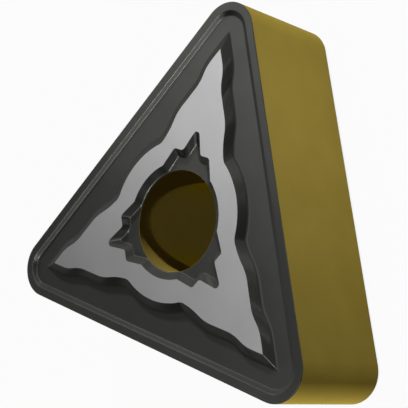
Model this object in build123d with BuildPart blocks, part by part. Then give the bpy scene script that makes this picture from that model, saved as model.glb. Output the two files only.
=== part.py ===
from build123d import *
import os
from math import cos, hypot, radians, sin, tan

# A triangular turning insert of sintered carbide, pressed as one piece and used on both faces.
# Millimetres and degrees. Origin on the bore's axis, halfway between the faces; +Z out of one
# seat face, +Y towards one corner. The upper half is drawn, and mirrored for the lower one.

# Body
corners = 3
inscribed_circle = 9.525     # touches the flanks
corner_radius = 1.2
edge_to_edge = 4.66          # between the planes of the two cutting edges
edge_hone = 0.03             # rounding of the cutting edge
bore_diameter = 3.81

# Chip breaker, inwards from the cutting edge and down from its plane
land_width = 0.337
land_fall = 4
groove_depth = 0.13
ramp_fall = 39
ramp_blend = 0.12

# Ground seat face: a hub round the bore, with an arm to each corner that widens in two steps.
# Its edge is given outwards from the middle of a flank, and a fall is its angle to that flank.
seat_height = 0.10           # above the plane of the cutting edge
hub_wall = 1.161             # from the bore to the hub's edge
hub_half_turn = 28.3         # of the hub's round edge, each way from the middle of the flank
hub_blend = 0.55
waist_length = 0.61          # from the hub to the inner step
waist_fall = 8
inner_step = 0.246           # how far the step brings the edge nearer to the flank
inner_step_fall = 19.3
outer_step = 0.238
outer_step_fall = 20
step_straight = 0.12         # of a step's slope, between its two blends
tip_length = 0.832           # from the outer step to the arm's tip
wall_slope = 35              # of the wall below the seat's edge
wall_foot_blend = 0.25

# Star-shaped recess round the bore, sunk into the seat: a tooth between two shoulders to a corner
recess_depth = 0.20
recess_slope = 39            # of its wall
ledge_width = 0.29           # from the bore to the round stretches
shoulder_reach = 0.67        # from the bore to the shoulders
shoulder_half_width = 0.903
shoulder_flank = 24          # from the corner's direction
tooth_reach = 1.721          # from the bore to where the tooth's flanks would meet
tooth_flank = 23.5           # from the corner's direction
tooth_tip_blend = 0.163
shoulder_blend = 0.15
ledge_blend = 0.10
floor_corner_blend = 0.05    # of the tooth and the shoulders at the recess's floor

# Worked out from the sizes above
inradius = inscribed_circle / 2
half_corner_turn = radians(180 / corners)
bore_radius = bore_diameter / 2
hub_radius = bore_radius + hub_wall
edge_z = edge_to_edge / 2
land_drop = land_width * tan(radians(land_fall))
groove_z = edge_z - groove_depth
ramp_foot = land_width + (groove_depth - land_drop) / tan(radians(ramp_fall))
rim_width = ramp_foot + ramp_blend
seat_z = edge_z + seat_height
wall_rise = seat_z - groove_z
wall_run = wall_rise / tan(radians(wall_slope))
recess_z = seat_z - recess_depth
recess_run = recess_depth / tan(radians(recess_slope))


def beside_flank(along, out):
    """Point along the flank on the right of the +Y corner from its middle, and out from the axis."""
    return (out * sin(half_corner_turn) - along * cos(half_corner_turn),
            out * cos(half_corner_turn) + along * sin(half_corner_turn))


def step_blend(step, fall, turn):
    """Radius that rounds one end of a step, turning by turn, up to the straight of its slope."""
    return (step / sin(radians(fall)) - step_straight) / 2 / tan(radians(turn) / 2)


def corner_lobes(right_half):
    """One closed outline to each corner, from the right half of the +Y corner's, tip last."""
    left_half = [(-x, y) for x, y in reversed(right_half[:-1])]
    with BuildSketch() as lobes:
        for k in range(corners):
            with BuildLine(Plane.XY.rotated((0, 0, k * 360 / corners))):
                Polyline(*right_half, *left_half, close=True)
            make_face()
    return lobes.sketch


def blend_rings(outline, blends):
    """Rounds the vertices ring by ring from the axis outwards; each ring has two to a corner."""
    near = 1e-3
    reaches = sorted(hypot(vertex.X, vertex.Y) for vertex in outline.vertices())
    for reach, blend in zip(reaches[::2 * corners], blends):
        fillet(outline.vertices().filter_by(lambda v: abs(hypot(v.X, v.Y) - reach) < near), blend)


def star_outline(inset, blends):
    """Outline of the recess round the bore, with its walls moved inwards by inset."""
    flank = radians(shoulder_flank)
    tooth = radians(tooth_flank)
    shoulder_y = bore_radius + shoulder_reach - inset
    shoulder_x = shoulder_half_width - inset * (1 - sin(flank)) / cos(flank)
    tooth_y = bore_radius + tooth_reach - inset / sin(tooth)
    lobes = corner_lobes([
        (shoulder_x + shoulder_y * tan(flank), 0),
        (shoulder_x, shoulder_y),
        ((tooth_y - shoulder_y) * tan(tooth), shoulder_y),
        (0, tooth_y),
    ])
    with BuildSketch() as star:
        Circle(bore_radius + ledge_width - inset)
        add(lobes)
        blend_rings(star, blends)
    return star.sketch


# Flank outline: the rounded triangle
with BuildSketch() as flank_outline:
    RegularPolygon(inradius, corners, major_radius=False, rotation=90)
    fillet(flank_outline.vertices(), corner_radius)

# Seat outline: the hub and the arms, each arm's edge starting inside the hub
hub_along = hub_radius * sin(radians(hub_half_turn))
hub_out = hub_radius * cos(radians(hub_half_turn))
waist_run = waist_length * cos(radians(waist_fall))
waist_gain = waist_length * sin(radians(waist_fall))
waist_along = hub_along + waist_run
waist_out = hub_out + waist_gain
arm_along = waist_along + inner_step / tan(radians(inner_step_fall))
arm_out = waist_out + inner_step
tip_out = arm_out + outer_step
tip_along = tip_out * tan(half_corner_turn)
outer_step_run = outer_step / tan(radians(outer_step_fall))
arms = corner_lobes([
    beside_flank(hub_along - waist_run, hub_out - waist_gain),
    beside_flank(waist_along, waist_out),
    beside_flank(arm_along, arm_out),
    beside_flank(tip_along - tip_length - outer_step_run, arm_out),
    beside_flank(tip_along - tip_length, tip_out),
    beside_flank(tip_along, tip_out),
])
with BuildSketch() as seat_outline:
    Circle(hub_radius)
    add(arms)
    blend_rings(seat_outline, (
        hub_blend,
        step_blend(inner_step, inner_step_fall, inner_step_fall - waist_fall),
        step_blend(inner_step, inner_step_fall, inner_step_fall),
        step_blend(outer_step, outer_step_fall, outer_step_fall),
        step_blend(outer_step, outer_step_fall, outer_step_fall),
    ))

# Foot of the wall below the seat, with a crease below each arm's tip
with BuildSketch() as wall_foot:
    add(seat_outline.sketch)
    offset(amount=wall_run, kind=Kind.INTERSECTION)

recess_top = star_outline(0, (ledge_blend, shoulder_blend, shoulder_blend, tooth_tip_blend))
recess_floor = star_outline(recess_run, (
    ledge_blend + recess_run,
    shoulder_blend + recess_run,
    floor_corner_blend,
    floor_corner_blend,
))

with BuildPart() as insert_body:
    # Rim: the section with the honed edge, the land and the ramp, carried round the flanks
    with BuildLine() as rim_path:
        add(flank_outline.wire())
    with BuildSketch(Plane(origin=(0, -inradius, 0), x_dir=(0, 1, 0), z_dir=(1, 0, 0))) as rim_section:
        with BuildLine():
            Polyline(
                (0, 0),
                (0, edge_z),
                (land_width, edge_z - land_drop),
                (ramp_foot, groove_z),
                (rim_width, groove_z),
                (rim_width, 0),
                close=True,
            )
        make_face()
        fillet(rim_section.vertices().sort_by(Axis.X)[2:4], ramp_blend)
        fillet(rim_section.vertices().sort_by(Axis.Y)[-1], edge_hone)
    sweep(path=rim_path.wire())

    # Groove floor, reaching a little way into the rim
    with BuildSketch():
        add(flank_outline.sketch)
        offset(amount=ramp_blend / 2 - rim_width)
    extrude(amount=groove_z)

    # Raised seat, with the blend at its wall's foot
    with BuildSketch(Plane.XY.offset(groove_z)):
        add(wall_foot.sketch)
    extrude(amount=wall_rise, taper=90 - wall_slope)
    fillet(insert_body.edges(Select.LAST).group_by(Axis.Z)[0], wall_foot_blend)

    # Recess round the bore
    with BuildSketch(Plane.XY.offset(recess_z)):
        add(recess_floor)
    with BuildSketch(Plane.XY.offset(seat_z)):
        add(recess_top)
    loft(ruled=True, mode=Mode.SUBTRACT)

    mirror(about=Plane.XY)
    Hole(bore_radius)

insert_body.part.label = "insert_body"
os.makedirs("parts", exist_ok=True)
export_step(insert_body.part, "parts/insert_body.step")
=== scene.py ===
from math import cos, pi, radians, sin, sqrt, tan

import bpy
import numpy as np
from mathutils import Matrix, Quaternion, Vector


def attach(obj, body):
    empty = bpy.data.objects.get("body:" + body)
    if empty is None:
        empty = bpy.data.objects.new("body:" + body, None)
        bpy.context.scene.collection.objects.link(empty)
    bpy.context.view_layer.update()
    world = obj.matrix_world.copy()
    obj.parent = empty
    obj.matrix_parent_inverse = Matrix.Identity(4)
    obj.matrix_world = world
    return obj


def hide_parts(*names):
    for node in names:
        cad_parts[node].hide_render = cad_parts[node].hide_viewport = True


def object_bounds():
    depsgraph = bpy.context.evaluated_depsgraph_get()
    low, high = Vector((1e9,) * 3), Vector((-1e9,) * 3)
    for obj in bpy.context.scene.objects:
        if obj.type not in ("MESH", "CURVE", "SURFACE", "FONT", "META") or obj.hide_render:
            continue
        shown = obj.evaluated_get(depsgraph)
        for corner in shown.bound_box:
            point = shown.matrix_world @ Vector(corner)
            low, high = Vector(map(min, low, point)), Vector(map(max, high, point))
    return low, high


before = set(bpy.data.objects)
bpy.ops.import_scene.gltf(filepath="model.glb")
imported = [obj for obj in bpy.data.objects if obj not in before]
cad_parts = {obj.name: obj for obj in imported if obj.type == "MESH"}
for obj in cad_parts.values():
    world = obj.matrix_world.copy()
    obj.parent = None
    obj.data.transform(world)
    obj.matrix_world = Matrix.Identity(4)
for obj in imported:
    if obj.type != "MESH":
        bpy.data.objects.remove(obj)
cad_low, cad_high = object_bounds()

# A triangular turning insert of coated carbide, with a ground seat on both faces. The origin is on
# the bore's axis, halfway between the faces, with +Z out of the upper seat and +Y towards a corner.
# Lengths are in millimetres until a mesh, lamp or camera is made; MM turns them into metres.
MM = 0.001

# Body
INRADIUS = 9.525 / 2          # of the flanks round the bore's axis
CORNER_RADIUS = 1.2
EDGE_Z = 4.66 / 2             # plane of the cutting edge
EDGE_HONE = 0.03
BORE_RADIUS = 3.81 / 2
BORE_EDGE_ROUND = 0.012
SECTOR = radians(60)          # from a corner's direction to the middle of the next flank
FLANK_HEADING = pi / 2 - SECTOR   # from the axis to the flank on the right of the +Y corner

# Chip breaker, inwards from the cutting edge and down from its plane
LAND_WIDTH, LAND_FALL = 0.327, radians(4)
LAND_DROP = LAND_WIDTH * tan(LAND_FALL)
GROOVE_DEPTH = 0.13
GROOVE_Z = EDGE_Z - GROOVE_DEPTH
RAMP_FALL = radians(34.5)
RAMP_FOOT = LAND_WIDTH + (GROOVE_DEPTH - LAND_DROP) / tan(RAMP_FALL)
RAMP_BLEND = 0.12             # at the head and at the foot of the ramp

# Ground seat: a hub round the bore, and an arm to each corner that widens in two steps. Its outline
# is given along the flank from its middle, and out from the axis, from the hub to the arm's tip.
SEAT_HEIGHT = 0.10
SEAT_Z = EDGE_Z + SEAT_HEIGHT
SEAT_EDGE_ROUND = 0.018
HUB_RADIUS = BORE_RADIUS + 1.161
HUB_HALF_TURN = radians(28.3)
HUB_BLEND = 0.55
WAIST_LENGTH, WAIST_FALL = 0.61, radians(8)
INNER_STEP, INNER_STEP_FALL = 0.246, radians(19.3)
OUTER_STEP, OUTER_STEP_FALL = 0.238, radians(20)
STEP_STRAIGHT = 0.12          # of a step's slope, between its two blends
TIP_LENGTH = 0.832
WALL_SLOPE = radians(35)
WALL_RUN = (SEAT_Z - GROOVE_Z) / tan(WALL_SLOPE)
WALL_FOOT_BLEND = 0.25

# Star-shaped recess round the bore: a pointed tooth towards each corner, a shoulder on either side
# of it, and a round ledge between one corner's shoulders and the next one's
RECESS_DEPTH, RECESS_SLOPE = 0.20, radians(39)
RECESS_Z = SEAT_Z - RECESS_DEPTH
RECESS_RUN = RECESS_DEPTH / tan(RECESS_SLOPE)
RECESS_FOOT_BLEND = 0.12
LEDGE_RADIUS = BORE_RADIUS + 0.29
SHOULDER_X, SHOULDER_Y = 0.903, BORE_RADIUS + 0.67
SHOULDER_FLANK = radians(24)  # between its side and the corner's direction
TOOTH_Y = BORE_RADIUS + 1.721
TOOTH_FLANK = radians(23.5)
TOOTH_BLEND, SHOULDER_BLEND, LEDGE_BLEND = 0.163, 0.15, 0.10
FLOOR_POINT_BLEND = 0.05      # of the tooth and the shoulder at the recess's floor

# Mesh
AROUND = 1200                 # points round each ring
SECTOR_STEPS = AROUND // 6    # of them from a corner's direction to the middle of a flank
OUTLINE_STEPS = 96            # points to an arc of an outline
SECTION_STEPS = 5             # rings to an arc of a section
SAME_BEARING = 1e-7           # radians, within which two points of an outline are one
GOLD, DARK, GROUND = 0, 1, 2  # the finishes, in the order of the mesh's materials


def ahead(heading):
    """Unit vectors along the headings."""
    return np.stack([np.cos(heading), np.sin(heading)], axis=-1)


def left_of(heading):
    """Unit vectors a quarter turn to the left of the headings."""
    return ahead(heading + pi / 2)


def cross(one, other):
    """Cross products of plane vectors."""
    return one[..., 0] * other[..., 1] - one[..., 1] * other[..., 0]


def headings(corners):
    """Heading of each run between corners, and the turn to the next run, left positive."""
    runs = np.diff(corners, axis=0)
    heading = np.unwrap(np.arctan2(runs[:, 1], runs[:, 0]))
    return heading, np.diff(heading)


def rounded(corners, blends, steps):
    """Points along straight runs between corners, whose inner corners are arcs of the blend radii.

    An arc leaves its run blend * tan(turn / 2) before the corner. Its centre is one blend to the
    side it turns to, and its points lie one blend back from the centre, square to the heading,
    which goes evenly from the one run's to the next one's.
    """
    heading, turn = headings(corners)
    reach = blends * np.tan(np.abs(turn) / 2)
    side = np.sign(turn) * blends
    start = corners[1:-1] - reach[:, None] * ahead(heading[:-1])
    centre = start + side[:, None] * left_of(heading[:-1])
    along = heading[:-1, None] + turn[:, None] * np.linspace(0, 1, steps)
    arcs = centre[:, None] - side[:, None, None] * left_of(along)
    return np.concatenate([corners[:1], arcs.reshape(-1, 2), corners[-1:]])


def mirrored_ends(half):
    """Half outline of the +Y corner, and one corner more beyond each of its ends.

    Before it comes its second corner mirrored in the Y axis, and after it its last but one
    mirrored in the line to the middle of the flank.
    """
    half = np.asarray(half, float)
    middle = ahead(FLANK_HEADING)
    before = half[1] * (-1, 1)
    after = 2 * (half[-2] @ middle) * middle - half[-2]
    return np.concatenate([[before], half, [after]])


def shifts(corners):
    """How far each corner moves when all runs move outwards, to their left, by one.

    An inner corner moves by the sum of its two runs' normals over one plus their product.
    """
    normal = left_of(headings(corners)[0])
    before, after = normal[:-1], normal[1:]
    inner = (before + after) / (1 + np.sum(before * after, axis=1))[:, None]
    return np.concatenate([normal[:1], inner, normal[-1:]])


def ring_radii(half, blends, rates, moves):
    """Radii from a corner's direction to the middle of the flank, one ring for each of moves.

    A ring is the outline of the half moved outwards by its move, and each blend in it changes by
    its rate times the move: a rate of 1 on a bulge and -1 in a hollow keeps an arc's centre. A ray
    at each angle is cut with the chord of the outline that it meets: the radius is the cross
    product of the chord's start and the chord, over that of ray and chord.
    """
    corners = mirrored_ends(half)
    shift = shifts(corners)
    angle = np.linspace(0, SECTOR, SECTOR_STEPS + 1)
    ray = ahead(pi / 2 - angle)
    radii = []
    for move in moves:
        moved_blends = np.maximum(np.add(blends, np.multiply(rates, move)), 0)
        points = rounded(corners + move * shift, moved_blends, OUTLINE_STEPS)
        bearing = np.arctan2(points[:, 0], points[:, 1])
        keep = np.append(True, np.diff(bearing) > SAME_BEARING)
        points, bearing = points[keep], bearing[keep]
        after = np.searchsorted(bearing, angle, side="right")
        start, chord = points[after - 1], points[after] - points[after - 1]
        radii.append(cross(start, chord) / cross(ray, chord))
    return np.array(radii)


def run_to_circle(point, heading, circle, blend):
    """Corners where a run from point meets a circle about the axis through a blend in the hollow.

    The blend's centre is one blend to the run's left, at the first place along it that is the
    circle's radius and one blend from the axis, and the blend touches the circle on the line from
    the axis to that centre. The first corner is where the run meets the circle's tangent at the
    touching point, the second where that tangent meets the line to the middle of the flank.
    """
    along = ahead(heading)
    beside = point + blend * left_of(heading)
    past = beside @ along
    half_chord = sqrt(past ** 2 - beside @ beside + (circle + blend) ** 2)
    centre = beside - along * (past + half_chord)
    touch = centre / np.linalg.norm(centre)
    middle = ahead(FLANK_HEADING)
    return [point + along * (circle - point @ touch) / (along @ touch),
            middle * circle / (middle @ touch)]


def beside_flank(along, out):
    """Point out from the axis to the middle of the flank, then along it towards the +Y corner."""
    return out * ahead(FLANK_HEADING) + along * left_of(FLANK_HEADING)


def step_blend(step, fall, turn):
    """Radius that rounds one end of a step, turning by turn, up to the straight of its slope.

    The slope is step over the sine of fall long, and each end's blend takes half of what the
    straight leaves: the radius is that half over the tangent of half the turn.
    """
    return (step / sin(fall) - STEP_STRAIGHT) / 2 / tan(turn / 2)


def flank_rings(moves):
    """Rounded triangle of the flanks, moved outwards by each of moves."""
    half = [(0, 2 * INRADIUS), beside_flank(0, INRADIUS)]
    return ring_radii(half, (CORNER_RADIUS, 0), (1, 0), moves)


def seat_rings(moves):
    """Outline of the seat, moved outwards by each of moves.

    It goes from an arm's pointed tip down two steps and the waist to the round hub.
    """
    waist_along = HUB_RADIUS * sin(HUB_HALF_TURN) + WAIST_LENGTH * cos(WAIST_FALL)
    waist_out = HUB_RADIUS * cos(HUB_HALF_TURN) + WAIST_LENGTH * sin(WAIST_FALL)
    arm_along, arm_out = waist_along + INNER_STEP / tan(INNER_STEP_FALL), waist_out + INNER_STEP
    tip_out = arm_out + OUTER_STEP
    tip_along = tip_out * tan(SECTOR)
    waist = beside_flank(waist_along, waist_out)
    half = [
        beside_flank(tip_along, tip_out),
        beside_flank(tip_along - TIP_LENGTH, tip_out),
        beside_flank(tip_along - TIP_LENGTH - OUTER_STEP / tan(OUTER_STEP_FALL), arm_out),
        beside_flank(arm_along, arm_out),
        waist,
        *run_to_circle(waist, -SECTOR - WAIST_FALL, HUB_RADIUS, HUB_BLEND),
    ]
    outer_blend = step_blend(OUTER_STEP, OUTER_STEP_FALL, OUTER_STEP_FALL)
    arm_blend = step_blend(INNER_STEP, INNER_STEP_FALL, INNER_STEP_FALL)
    waist_blend = step_blend(INNER_STEP, INNER_STEP_FALL, INNER_STEP_FALL - WAIST_FALL)
    blends = 0, outer_blend, outer_blend, arm_blend, waist_blend, HUB_BLEND, HUB_RADIUS
    return ring_radii(half, blends, (0, 1, -1, 1, -1, -1, 1), moves)


def star_rings(moves):
    """Outline of the recess at the seat, moved outwards by each of moves.

    It goes from the tooth's point down its side to a valley, over the shoulder and down its side,
    and round the ledge. The points of the tooth and the shoulder sharpen towards the floor.
    """
    shoulder = np.array([SHOULDER_X, SHOULDER_Y])
    half = [
        (0, TOOTH_Y),
        ((TOOTH_Y - SHOULDER_Y) * tan(TOOTH_FLANK), SHOULDER_Y),
        shoulder,
        *run_to_circle(shoulder, SHOULDER_FLANK - pi / 2, LEDGE_RADIUS, LEDGE_BLEND),
    ]
    blends = TOOTH_BLEND, SHOULDER_BLEND, SHOULDER_BLEND, LEDGE_BLEND, LEDGE_RADIUS
    rates = ((TOOTH_BLEND - FLOOR_POINT_BLEND) / RECESS_RUN, -1,
             (SHOULDER_BLEND - FLOOR_POINT_BLEND) / RECESS_RUN, -1, 1)
    return ring_radii(half, blends, rates, moves)


def section(corners, blends):
    """Moves and heights along a section with rounded corners.

    Its first and last corner only give the headings of the end runs, and are left out.
    """
    return rounded(np.array(corners), np.array(blends), SECTION_STEPS)[1:-1].T


def upper_rings():
    """Rings from the middle of the bore, over the upper face, to the middle of the flank.

    Each stretch is a section, in moves from its own outline and heights, carried round that
    outline. Gives the rings' radii and heights, and the finish of the band from each to the next.
    """
    bore_move, bore_z = section([(0, 0), (0, RECESS_Z), (1, RECESS_Z)], [BORE_EDGE_ROUND])
    star_move, star_z = section(
        [(-1, RECESS_Z), (-RECESS_RUN, RECESS_Z), (0, SEAT_Z), (1, SEAT_Z)],
        [RECESS_FOOT_BLEND, SEAT_EDGE_ROUND])
    seat_move, seat_z = section(
        [(-1, SEAT_Z), (0, SEAT_Z), (WALL_RUN, GROOVE_Z), (2, GROOVE_Z)],
        [SEAT_EDGE_ROUND, WALL_FOOT_BLEND])
    rim_move, rim_z = section(
        [(-2, GROOVE_Z), (-RAMP_FOOT, GROOVE_Z), (-LAND_WIDTH, EDGE_Z - LAND_DROP), (0, EDGE_Z),
         (0, 0)],
        [RAMP_BLEND, RAMP_BLEND, EDGE_HONE])
    bore = BORE_RADIUS + np.repeat(bore_move[:, None], SECTOR_STEPS + 1, axis=1)
    star, seat, rim = star_rings(star_move), seat_rings(seat_move), flank_rings(rim_move)
    radii = np.concatenate([bore[:1], bore, star, seat, rim, rim[-1:]])
    height = np.concatenate([[0], bore_z, star_z, seat_z, rim_z, [0]])
    finish = np.repeat(
        [GOLD, DARK, GROUND, DARK, GOLD],
        [len(bore_z), len(star_z), 1, len(seat_z) - 1 + len(rim_z), 1])
    return radii, height, finish


def ring_points(radii, height, around):
    """Points at each ring's radius and height, at even angles clockwise from +Y."""
    bearing = np.arange(around) * 2 * pi / around
    return np.stack([radii * np.sin(bearing), radii * np.cos(bearing),
                     np.repeat(height[:, None], around, axis=1)], axis=2)


def ring_quads(points):
    """Quads from each ring of points to the next, and from the last ring back to the first.

    A quad starts at its ring's own point, and faces up where the rings go outwards.
    """
    index = np.arange(points[..., 0].size).reshape(points.shape[:2])
    beside = np.roll(index, -1, axis=1)
    corners = [index, beside, np.roll(beside, -1, axis=0), np.roll(index, -1, axis=0)]
    return np.stack(corners, axis=2)


def insert_skin():
    """Closed skin of the insert: rings about the bore's axis, each of AROUND points at even angles.

    A sector's radii are mirrored to a whole corner and repeated for the three. The rings go up
    through the bore, over the upper face and down the flanks, and back under the lower face by
    the same rings mirrored. A quad's area vector is half the cross product of its diagonals, and
    a point's normal the sum of its four quads' ones, so that the flats stay flat beside their
    blends. Gives the points, the quads, the points' normals and the quads' finishes.
    """
    radii, height, finish = upper_rings()
    radii = np.tile(np.concatenate([radii, radii[:, -2:0:-1]], axis=1), (1, 3))
    radii = np.concatenate([radii, radii[-2:0:-1]])
    height = np.concatenate([height, -height[-2:0:-1]])
    points = ring_points(radii, height, AROUND) * MM
    quads = ring_quads(points)
    corner = points.reshape(-1, 3)[quads]
    area = np.cross(corner[:, :, 2] - corner[:, :, 0], corner[:, :, 3] - corner[:, :, 1])
    normal = area + np.roll(area, 1, axis=0)
    normal = normal + np.roll(normal, 1, axis=1)
    normal /= np.linalg.norm(normal, axis=2, keepdims=True)
    finish = np.repeat(np.concatenate([finish, finish[::-1]]), AROUND)
    return points.reshape(-1, 3), quads.reshape(-1, 4), normal.reshape(-1, 3), finish


MOST_NOISE = 0.3, 0.7         # range that holds nearly all values of a noise
DRIFT_DETAIL, GRAIN_DETAIL = 3, 4
MICROMETRE = 1e-3             # in millimetres


def noise(nodes, links, coordinates, size, detail, squeeze=(1, 1, 1)):
    """Noise with spots of the size in millimetres, made finer along the axes by squeeze."""
    place = nodes.new("ShaderNodeMapping")
    place.inputs["Scale"].default_value = squeeze
    pattern = nodes.new("ShaderNodeTexNoise")
    pattern.inputs["Scale"].default_value = 1 / (size * MM)
    pattern.inputs["Detail"].default_value = detail
    links.new(coordinates, place.inputs["Vector"])
    links.new(place.outputs["Vector"], pattern.inputs["Vector"])
    return pattern.outputs["Fac"]


def refit(nodes, links, value, source, target):
    """The value, with the source range stretched evenly over the target range and held to it."""
    fit = nodes.new("ShaderNodeMapRange")
    for name, number in zip(("From Min", "From Max", "To Min", "To Max"), (*source, *target)):
        fit.inputs[name].default_value = number
    links.new(value, fit.inputs["Value"])
    return fit.outputs["Result"]


def metal_finish(name, low, high, metallic, gloss, rim, roughness, cloud, grain, bump,
                 squeeze=(1, 1, 1)):
    """Finish whose colour drifts between two tones, with a fine grain in its gloss and its relief.

    metallic is the share that mirrors in the colour itself, the rest being matt, gloss the level
    of the clear sheen over the matt share, and rim the brightness of the metal seen edge on, in
    the lighter tone's hue. The grain moves the roughness over its range. cloud and grain are the
    sizes of the drift and of the grain in millimetres, bump is the grain's height in micrometres,
    and squeeze makes the grain finer along the axes, as grinding does across its strokes.
    """
    finish = bpy.data.materials.new(name)
    finish.use_nodes = True
    nodes, links = finish.node_tree.nodes, finish.node_tree.links
    shader = nodes["Principled BSDF"]
    shader.inputs["Metallic"].default_value = metallic
    shader.inputs["Specular IOR Level"].default_value = gloss
    shader.inputs["Specular Tint"].default_value = (*(rim * tone / max(high) for tone in high), 1)
    at = nodes.new("ShaderNodeTexCoord").outputs["Object"]
    drift = noise(nodes, links, at, cloud, DRIFT_DETAIL)
    texture = noise(nodes, links, at, grain, GRAIN_DETAIL, squeeze)
    tone = nodes.new("ShaderNodeValToRGB")
    tone.color_ramp.elements[0].color = (*low, 1)
    tone.color_ramp.elements[1].color = (*high, 1)
    links.new(refit(nodes, links, drift, MOST_NOISE, (0, 1)), tone.inputs["Fac"])
    links.new(tone.outputs["Color"], shader.inputs["Base Color"])
    links.new(refit(nodes, links, texture, MOST_NOISE, roughness), shader.inputs["Roughness"])
    relief = nodes.new("ShaderNodeBump")
    relief.inputs["Distance"].default_value = bump * MICROMETRE * MM
    links.new(texture, relief.inputs["Height"])
    links.new(relief.outputs["Normal"], shader.inputs["Normal"])
    return finish


def add_object(name, data):
    """New object of the scene, with its mesh, light or camera."""
    thing = bpy.data.objects.new(name, data)
    bpy.context.collection.objects.link(thing)
    return thing


def make_insert():
    """The insert's skin as one mesh with its three finishes: film, film, and bare ground metal."""
    points, quads, normals, finish = insert_skin()
    mesh = bpy.data.meshes.new("coated insert")
    mesh.from_pydata(points, [], quads)
    mesh.materials.append(metal_finish(
        "gold coating", low=(0.222, 0.166, 0.033), high=(0.242, 0.1815, 0.037),
        metallic=0.135, gloss=0, rim=1, roughness=(0.06, 0.11), cloud=1.5, grain=0.05, bump=0.1))
    mesh.materials.append(metal_finish(
        "dark satin coating", low=(0.0505, 0.052, 0.0475), high=(0.0555, 0.057, 0.052),
        metallic=0.31, gloss=0, rim=0.55, roughness=(0.20, 0.27), cloud=1.2, grain=0.04,
        bump=0.15))
    mesh.materials.append(metal_finish(
        "ground carbide", low=(0.231, 0.231, 0.231), high=(0.255, 0.255, 0.255),
        metallic=0.85, gloss=0.5, rim=1, roughness=(0.36, 0.44), cloud=2.0, grain=0.05, bump=0.1,
        squeeze=(1, 12, 1)))
    mesh.polygons.foreach_set("material_index", finish)
    mesh.polygons.foreach_set("use_smooth", np.ones(len(quads), bool))
    mesh.update()
    mesh.normals_split_custom_set_from_vertices(normals)
    return add_object("coated_insert", mesh)


# Floor and the wall that it curves up into, all round
FLAT_REACH, COVE_RADIUS, COVE_TURN = 450, 200, radians(70)
COVE_AROUND, COVE_STEPS = 96, 12
MIDDLE_DISC = 1               # radius of the floor's one face in the middle
PAPER, PAPER_ROUGHNESS = 0.2, 0.9
GLOW_SHARE = 0.96             # of the white glow in what is seen of the paper
# Painted shade: ambient occlusion dims the floor's glow near the insert, a painted contact shadow
CONTACT_REACH, CONTACT_SAMPLES = 6, 8
OPEN_RANGE, PAINTED_SHADOW_TONES = (0, 0.5), (0.85, 1)   # openness, and the glow's strength from it, which paints the contact shadow
ROOM_STRENGTH = 0.03


def seen_rays(nodes, links, share):
    """share where the camera, a reflection or a clear body sees the surface, and none elsewhere."""
    path = nodes.new("ShaderNodeLightPath")
    total = path.outputs["Is Camera Ray"]
    for ray in "Is Glossy Ray", "Is Transmission Ray":
        either = nodes.new("ShaderNodeMath")
        either.operation = "MAXIMUM"
        links.new(total, either.inputs[0])
        links.new(path.outputs[ray], either.inputs[1])
        total = either.outputs[0]
    part = nodes.new("ShaderNodeMath")
    part.operation = "MULTIPLY"
    part.inputs[1].default_value = share
    links.new(total, part.inputs[0])
    return part.outputs[0]


def paper():
    """Matt paper that glows white to the eye, its glow dimmed where the insert stands close over
    it: a painted contact shadow.
    """
    sheet = bpy.data.materials.new("floor paper")
    sheet.use_nodes = True
    nodes, links = sheet.node_tree.nodes, sheet.node_tree.links
    matt = nodes["Principled BSDF"]
    matt.inputs["Base Color"].default_value = (PAPER, PAPER, PAPER, 1)
    matt.inputs["Roughness"].default_value = PAPER_ROUGHNESS
    openness = nodes.new("ShaderNodeAmbientOcclusion")
    openness.samples = CONTACT_SAMPLES
    openness.inputs["Distance"].default_value = CONTACT_REACH * MM
    # Painted contact shadow: the glow's strength falls with the floor's openness under and beside
    # the insert
    strength = refit(nodes, links, openness.outputs["AO"], OPEN_RANGE, PAINTED_SHADOW_TONES)
    glow = nodes.new("ShaderNodeEmission")
    links.new(strength, glow.inputs["Strength"])
    share = nodes.new("ShaderNodeMixShader")
    links.new(seen_rays(nodes, links, GLOW_SHARE), share.inputs[0])
    links.new(matt.outputs[0], share.inputs[1])
    links.new(glow.outputs[0], share.inputs[2])
    links.new(share.outputs[0], nodes["Material Output"].inputs["Surface"])
    return sheet


def make_floor():
    """Pale floor under the insert that curves up into a low wall, white to the eye and to a mirror.

    The arc starts FLAT_REACH from the axis: its points lie COVE_RADIUS times the sine of the turn
    further out, and COVE_RADIUS times one less the cosine above the floor.
    """
    turn = np.linspace(0, COVE_TURN, COVE_STEPS)
    out = np.concatenate([[MIDDLE_DISC], FLAT_REACH + COVE_RADIUS * np.sin(turn)])
    height = np.concatenate([[0], COVE_RADIUS * (1 - np.cos(turn))])
    points = ring_points(out[:, None], height, COVE_AROUND) * MM + (0, 0, cad_low.z)
    quads = ring_quads(points)
    disc = quads[0, ::-1, 0]
    faces = [disc.tolist(), *quads[:-1].reshape(-1, 4).tolist()]
    mesh = bpy.data.meshes.new("floor")
    mesh.from_pydata(points.reshape(-1, 3), [], faces)
    mesh.polygons.foreach_set("use_smooth", np.ones(len(faces), bool))
    mesh.materials.append(paper())
    add_object("floor", mesh)


def make_room():
    """Plain dim light of the room above the wall."""
    world = bpy.data.worlds.new("room")
    bpy.context.scene.world = world
    world.use_nodes = True
    dim = world.node_tree.nodes["Background"]
    dim.inputs["Color"].default_value = (1, 1, 1, 1)
    dim.inputs["Strength"].default_value = ROOM_STRENGTH


# Each row has a name, azimuth and height in degrees, distance, width and length in millimetres,
# and the level on a white card that faces it. The side and the low fill stand close by, below the
# plane of the cutting edge, so that they light the flanks and leave the upper face alone.
LAMPS = [
    ("key", 117, 20, 300, 20, 20, 0.98),
    ("side fill", 45, 3.5, 19, 3, 2.2, 0.44),
    ("low fill", 275, -1.2, 60, 6, 2.4, 1.66),
    ("left fill", 187, 14, 300, 50, 50, 0.60),
    ("ceiling", 0, 90, 300, 150, 150, 0.21),
]
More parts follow.
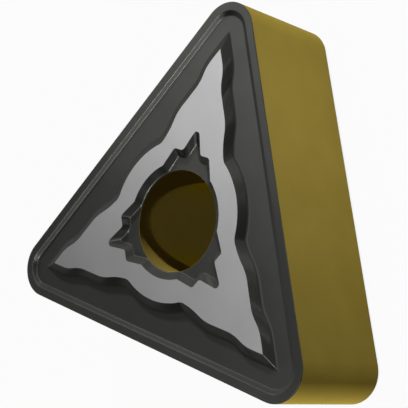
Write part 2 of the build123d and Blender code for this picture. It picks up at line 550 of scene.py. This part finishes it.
# Lit cards that are only mirrored: they give the upper face its highlights and its gradient
CARDS = [
    ("soft box", 280, 66, 300, 200, 100, 0.46),
    ("tall card", 270, 70, 300, 40, 40, 0.26),
    ("tip card", 105, 12, 50, 30, 30, 0.62),
    ("near card", 160, 75, 45, 20, 20, 0.134),
    ("arm card", 150, 45, 45, 20, 20, 0.118),
    ("hub card", 165, 50, 45, 20, 20, 0.14),
    ("top card", 90, 48, 300, 100, 100, 0.080),
    ("back card", 270, 48, 300, 100, 100, 0.078),
    ("far card", 205, 62, 300, 100, 100, 0.052),
    ("high card", 215, 70, 300, 40, 40, 0.038),
    ("key card", 130, 20, 300, 100, 100, 0.024),
    ("tooth card", 55, 50, 300, 30, 30, 0.019),
]


def make_lamps():
    """Soft lamps and mirrored cards round the insert, each turned to it.

    A lamp's watts are its level times pi squared and its distance squared, so that at level one a
    white card that faces it is just white.
    """
    for table, mirrored in (LAMPS, False), (CARDS, True):
        for name, azimuth, height, distance, width, length, level in table:
            light = bpy.data.lights.new(name, "AREA")
            light.shape = "RECTANGLE"
            light.size, light.size_y = width * MM, length * MM
            light.energy = level * (pi * distance * MM) ** 2
            turn, rise = radians(azimuth), radians(height)
            away = Vector((cos(turn) * cos(rise), sin(turn) * cos(rise), sin(rise)))
            lamp = add_object(name, light)
            lamp.location = away * distance * MM
            lamp.rotation_mode = "QUATERNION"
            lamp.rotation_quaternion = (-away).to_track_quat("-Z", "Y")
            lamp.visible_camera = False
            lamp.visible_glossy, lamp.visible_diffuse = mirrored, not mirrored


# Camera of the photograph's view
EYE, AIM, ROLL = (29.1050, 3.6738, 33.8795), (-0.8890, 0.7329, 0), radians(-78.677)
FOCAL_LENGTH, SENSOR_WIDTH = 102.718, 36
NEAREST, FARTHEST = 1, 10000


def make_camera():
    """Camera at EYE that looks at AIM, turned about its line of sight by ROLL."""
    lens = bpy.data.cameras.new("camera")
    lens.lens, lens.sensor_width = FOCAL_LENGTH, SENSOR_WIDTH
    lens.clip_start, lens.clip_end = NEAREST * MM, FARTHEST * MM
    camera = add_object("camera", lens)
    sight = (Vector(AIM) - Vector(EYE)).to_track_quat("-Z", "Y")
    camera.rotation_mode = "QUATERNION"
    camera.rotation_quaternion = sight @ Quaternion((0, 0, 1), ROLL)
    camera.location = Vector(EYE) * MM
    bpy.context.scene.camera = camera


make_camera()
insert = make_insert()
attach(insert, "root")
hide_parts("insert_body")
make_floor()
make_room()
make_lamps()
bpy.context.scene.view_settings.view_transform = "Standard"
